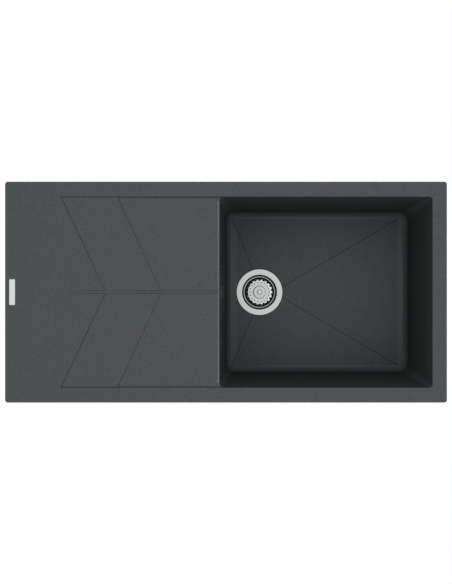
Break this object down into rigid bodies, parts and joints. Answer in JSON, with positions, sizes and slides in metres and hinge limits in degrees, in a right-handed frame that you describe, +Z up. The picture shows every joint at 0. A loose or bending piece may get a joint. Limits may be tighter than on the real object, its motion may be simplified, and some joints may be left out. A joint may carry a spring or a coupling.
{
  "type": "inset kitchen sink with drainboard",
  "caption": "Inset composite kitchen sink: rectangular bowl with a basket strainer waste and overflow, and a stepped chevron drainboard with a centre channel.",
  "frame": {"origin": "centre of the sink's outer rectangle in the plane of the worktop, which is the underside of the rim", "axes": "+X from the drainboard to the bowl, +Y to the rear, +Z up out of the worktop"},
  "size_m": [1, 0.5, 0.2816],
  "materials": {
    "granite_composite": "matt cast quartz composite with a fine grain",
    "badge_metal": "satin",
    "sealing_foam": "matt",
    "black_plastic": "matt",
    "stainless": "satin stainless",
    "rubber": "matt",
    "waste_plastic": "moulded polypropylene",
    "brass": "turned",
    "screw_steel": "zinc plated",
    "grille_plastic": "matt, the colour of the sink",
    "chromed_knob": "satin chrome",
    "clamp_steel": "pressed galvanised steel"
  },
  "bodies": {
    "sink": {"sink_body": "granite_composite", "badge_plate": "badge_metal", "rim_seal_strip": "sealing_foam", "clamp_dowels": "black_plastic", "strainer_flange": "stainless", "flange_seal": "rubber", "waste_gasket": "rubber", "waste_body": "waste_plastic", "waste_spider": "waste_plastic", "waste_insert": "brass", "waste_screw": "screw_steel", "overflow_grille": "grille_plastic", "overflow_screw": "grille_plastic", "overflow_gasket": "rubber", "overflow_elbow": "waste_plastic", "overflow_pipe": "waste_plastic", "overflow_upper_nut": "waste_plastic", "overflow_upper_seal": "rubber", "overflow_lower_nut": "waste_plastic", "overflow_lower_seal": "rubber"},
    "basket": {"basket_lid": "stainless", "basket_body": "stainless", "basket_knob": "chromed_knob", "basket_knob_cap": "chromed_knob", "basket_seal": "rubber", "basket_stem": "brass", "basket_nuts": "screw_steel"},
    "clamp_rear_1": {"clamp_screw_rear_1": "screw_steel", "clamp_washer_rear_1": "screw_steel"},
    "arm_rear_1": {"clamp_arm_rear_1": "clamp_steel"},
    "clamp_front_1": {"clamp_screw_front_1": "screw_steel", "clamp_washer_front_1": "screw_steel"},
    "arm_front_1": {"clamp_arm_front_1": "clamp_steel"},
    "clamp_rear_2": {"clamp_screw_rear_2": "screw_steel", "clamp_washer_rear_2": "screw_steel"},
    "arm_rear_2": {"clamp_arm_rear_2": "clamp_steel"},
    "clamp_front_2": {"clamp_screw_front_2": "screw_steel", "clamp_washer_front_2": "screw_steel"},
    "arm_front_2": {"clamp_arm_front_2": "clamp_steel"},
    "clamp_rear_3": {"clamp_screw_rear_3": "screw_steel", "clamp_washer_rear_3": "screw_steel"},
    "arm_rear_3": {"clamp_arm_rear_3": "clamp_steel"},
    "clamp_front_3": {"clamp_screw_front_3": "screw_steel", "clamp_washer_front_3": "screw_steel"},
    "arm_front_3": {"clamp_arm_front_3": "clamp_steel"},
    "clamp_rear_4": {"clamp_screw_rear_4": "screw_steel", "clamp_washer_rear_4": "screw_steel"},
    "arm_rear_4": {"clamp_arm_rear_4": "clamp_steel"},
    "clamp_front_4": {"clamp_screw_front_4": "screw_steel", "clamp_washer_front_4": "screw_steel"},
    "arm_front_4": {"clamp_arm_front_4": "clamp_steel"}
  },
  "joints": [
    {"name": "basket_lift", "type": "slide", "parent": "sink", "child": "basket", "axis": [0, 0, 1], "range_m": [0, 0.25]},
    {"name": "clamp_rear_1_tighten", "type": "slide", "parent": "sink", "child": "clamp_rear_1", "axis": [0, 0, 1], "range_m": [0, 0.01]},
    {"name": "clamp_rear_1_swing", "type": "hinge", "parent": "clamp_rear_1", "child": "arm_rear_1", "pos_m": [-0.4, 0.229, -0.0495], "axis": [0, 0, 1], "range_deg": [-180, 0]},
    {"name": "clamp_front_1_tighten", "type": "slide", "parent": "sink", "child": "clamp_front_1", "axis": [0, 0, 1], "range_m": [0, 0.01]},
    {"name": "clamp_front_1_swing", "type": "hinge", "parent": "clamp_front_1", "child": "arm_front_1", "pos_m": [-0.4, -0.229, -0.0495], "axis": [0, 0, 1], "range_deg": [0, 180]},
    {"name": "clamp_rear_2_tighten", "type": "slide", "parent": "sink", "child": "clamp_rear_2", "axis": [0, 0, 1], "range_m": [0, 0.01]},
    {"name": "clamp_rear_2_swing", "type": "hinge", "parent": "clamp_rear_2", "child": "arm_rear_2", "pos_m": [-0.14, 0.229, -0.0495], "axis": [0, 0, 1], "range_deg": [-180, 0]},
    {"name": "clamp_front_2_tighten", "type": "slide", "parent": "sink", "child": "clamp_front_2", "axis": [0, 0, 1], "range_m": [0, 0.01]},
    {"name": "clamp_front_2_swing", "type": "hinge", "parent": "clamp_front_2", "child": "arm_front_2", "pos_m": [-0.14, -0.229, -0.0495], "axis": [0, 0, 1], "range_deg": [0, 180]},
    {"name": "clamp_rear_3_tighten", "type": "slide", "parent": "sink", "child": "clamp_rear_3", "axis": [0, 0, 1], "range_m": [0, 0.01]},
    {"name": "clamp_rear_3_swing", "type": "hinge", "parent": "clamp_rear_3", "child": "arm_rear_3", "pos_m": [0.12, 0.229, -0.0495], "axis": [0, 0, 1], "range_deg": [-180, 0]},
    {"name": "clamp_front_3_tighten", "type": "slide", "parent": "sink", "child": "clamp_front_3", "axis": [0, 0, 1], "range_m": [0, 0.01]},
    {"name": "clamp_front_3_swing", "type": "hinge", "parent": "clamp_front_3", "child": "arm_front_3", "pos_m": [0.12, -0.229, -0.0495], "axis": [0, 0, 1], "range_deg": [0, 180]},
    {"name": "clamp_rear_4_tighten", "type": "slide", "parent": "sink", "child": "clamp_rear_4", "axis": [0, 0, 1], "range_m": [0, 0.01]},
    {"name": "clamp_rear_4_swing", "type": "hinge", "parent": "clamp_rear_4", "child": "arm_rear_4", "pos_m": [0.38, 0.229, -0.0495], "axis": [0, 0, 1], "range_deg": [-180, 0]},
    {"name": "clamp_front_4_tighten", "type": "slide", "parent": "sink", "child": "clamp_front_4", "axis": [0, 0, 1], "range_m": [0, 0.01]},
    {"name": "clamp_front_4_swing", "type": "hinge", "parent": "clamp_front_4", "child": "arm_front_4", "pos_m": [0.38, -0.229, -0.0495], "axis": [0, 0, 1], "range_deg": [0, 180]}
  ]
}
